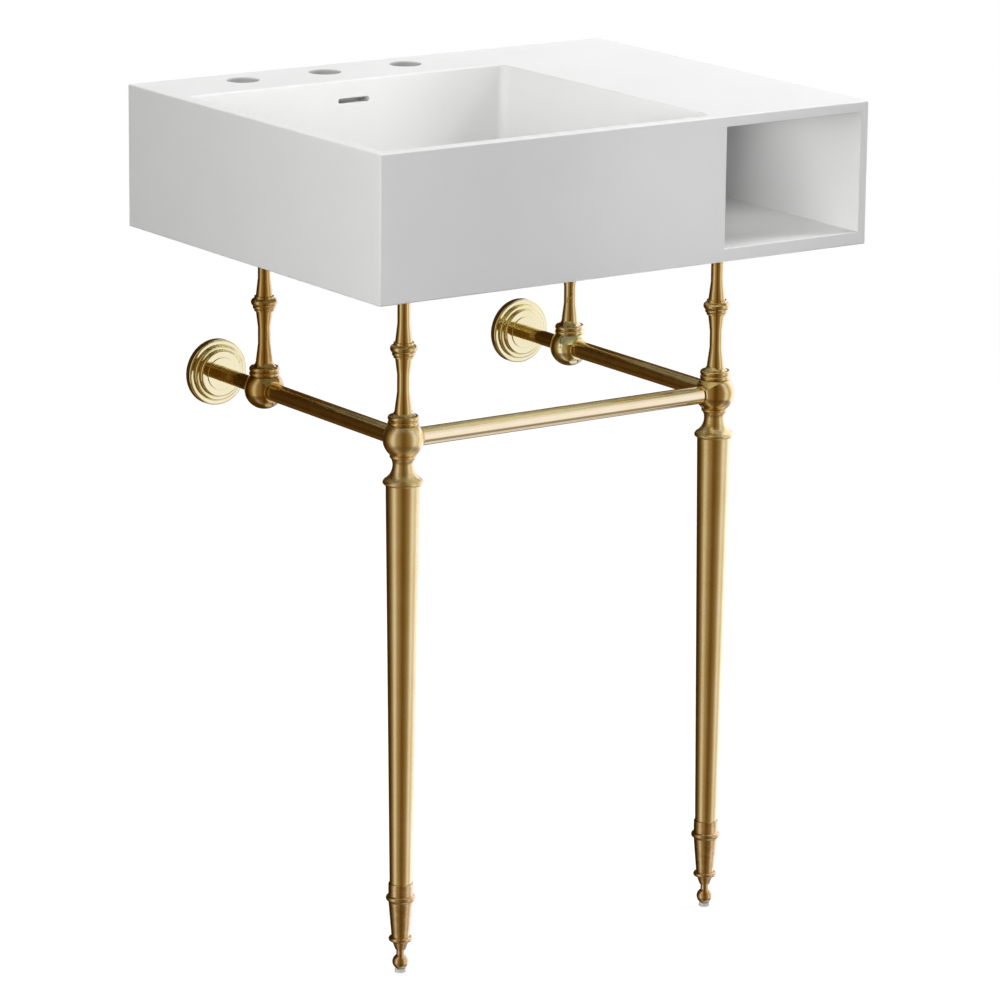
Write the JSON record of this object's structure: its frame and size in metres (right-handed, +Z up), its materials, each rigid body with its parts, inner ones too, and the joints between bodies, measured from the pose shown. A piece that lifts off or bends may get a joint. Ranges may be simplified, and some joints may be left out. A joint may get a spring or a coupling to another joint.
{
  "type": "console sink with legs",
  "caption": "Rectangular wall-side console basin with an open shelf beside the bowl, on a turned brass stand with front legs, rails and wall arms.",
  "frame": {"origin": "on the floor, under the middle of the basin", "axes": "+Z up, -Y to the front, +Y to the wall, +X to the right of a person facing the front"},
  "size_m": [0.6, 0.48, 0.885],
  "materials": {
    "solid_surface": "matte white cast resin and mineral, evenly sanded",
    "satin_brass": "satin brushed brass, warm gold",
    "polished_brass": "bright polished brass",
    "turned_brass": "plain turned brass",
    "steel_screw": "zinc plated steel",
    "black_rubber": "matte black rubber",
    "white_plastic": "matte white nylon"
  },
  "bodies": {
    "root": {"basin": "solid_surface", "basin_inserts": "turned_brass", "basin_pads": "black_rubber", "plate_screws": "steel_screw", "front_left_mounting_plate": "satin_brass", "front_left_upper_spindle": "satin_brass", "front_left_knop": "satin_brass", "front_left_lower_spindle": "satin_brass", "front_left_ball_joint": "satin_brass", "front_left_tie_rod": "steel_screw", "front_right_mounting_plate": "satin_brass", "front_right_upper_spindle": "satin_brass", "front_right_knop": "satin_brass", "front_right_lower_spindle": "satin_brass", "front_right_ball_joint": "satin_brass", "front_right_tie_rod": "steel_screw", "rear_left_mounting_plate": "satin_brass", "rear_left_upper_spindle": "satin_brass", "rear_left_knop": "satin_brass", "rear_left_lower_spindle": "satin_brass", "rear_left_ball_joint": "satin_brass", "rear_left_tie_rod": "steel_screw", "rear_right_mounting_plate": "polished_brass", "rear_right_upper_spindle": "polished_brass", "rear_right_knop": "polished_brass", "rear_right_lower_spindle": "polished_brass", "rear_right_ball_joint": "polished_brass", "rear_right_tie_rod": "steel_screw", "front_left_leg_neck": "satin_brass", "front_left_leg_tube": "satin_brass", "front_left_leg_ferrule": "satin_brass", "front_right_leg_neck": "satin_brass", "front_right_leg_tube": "satin_brass", "front_right_leg_ferrule": "satin_brass", "front_rail": "polished_brass", "rail_grub_screws": "steel_screw", "left_side_rail": "polished_brass", "left_wall_arm": "polished_brass", "left_wall_flange": "polished_brass", "left_wall_plate": "steel_screw", "right_side_rail": "polished_brass", "right_wall_arm": "polished_brass", "right_wall_flange": "polished_brass", "right_wall_plate": "steel_screw"},
    "front_left_foot": {"front_left_levelling_foot": "satin_brass", "front_left_foot_glide": "white_plastic"},
    "front_right_foot": {"front_right_levelling_foot": "satin_brass", "front_right_foot_glide": "white_plastic"}
  },
  "joints": [
    {"name": "front_left_foot_screw", "type": "slide", "parent": "root", "child": "front_left_foot", "axis": [0, 0, -1], "range_m": [0, 0.01]},
    {"name": "front_right_foot_screw", "type": "slide", "parent": "root", "child": "front_right_foot", "axis": [0, 0, -1], "range_m": [0, 0.01]}
  ]
}
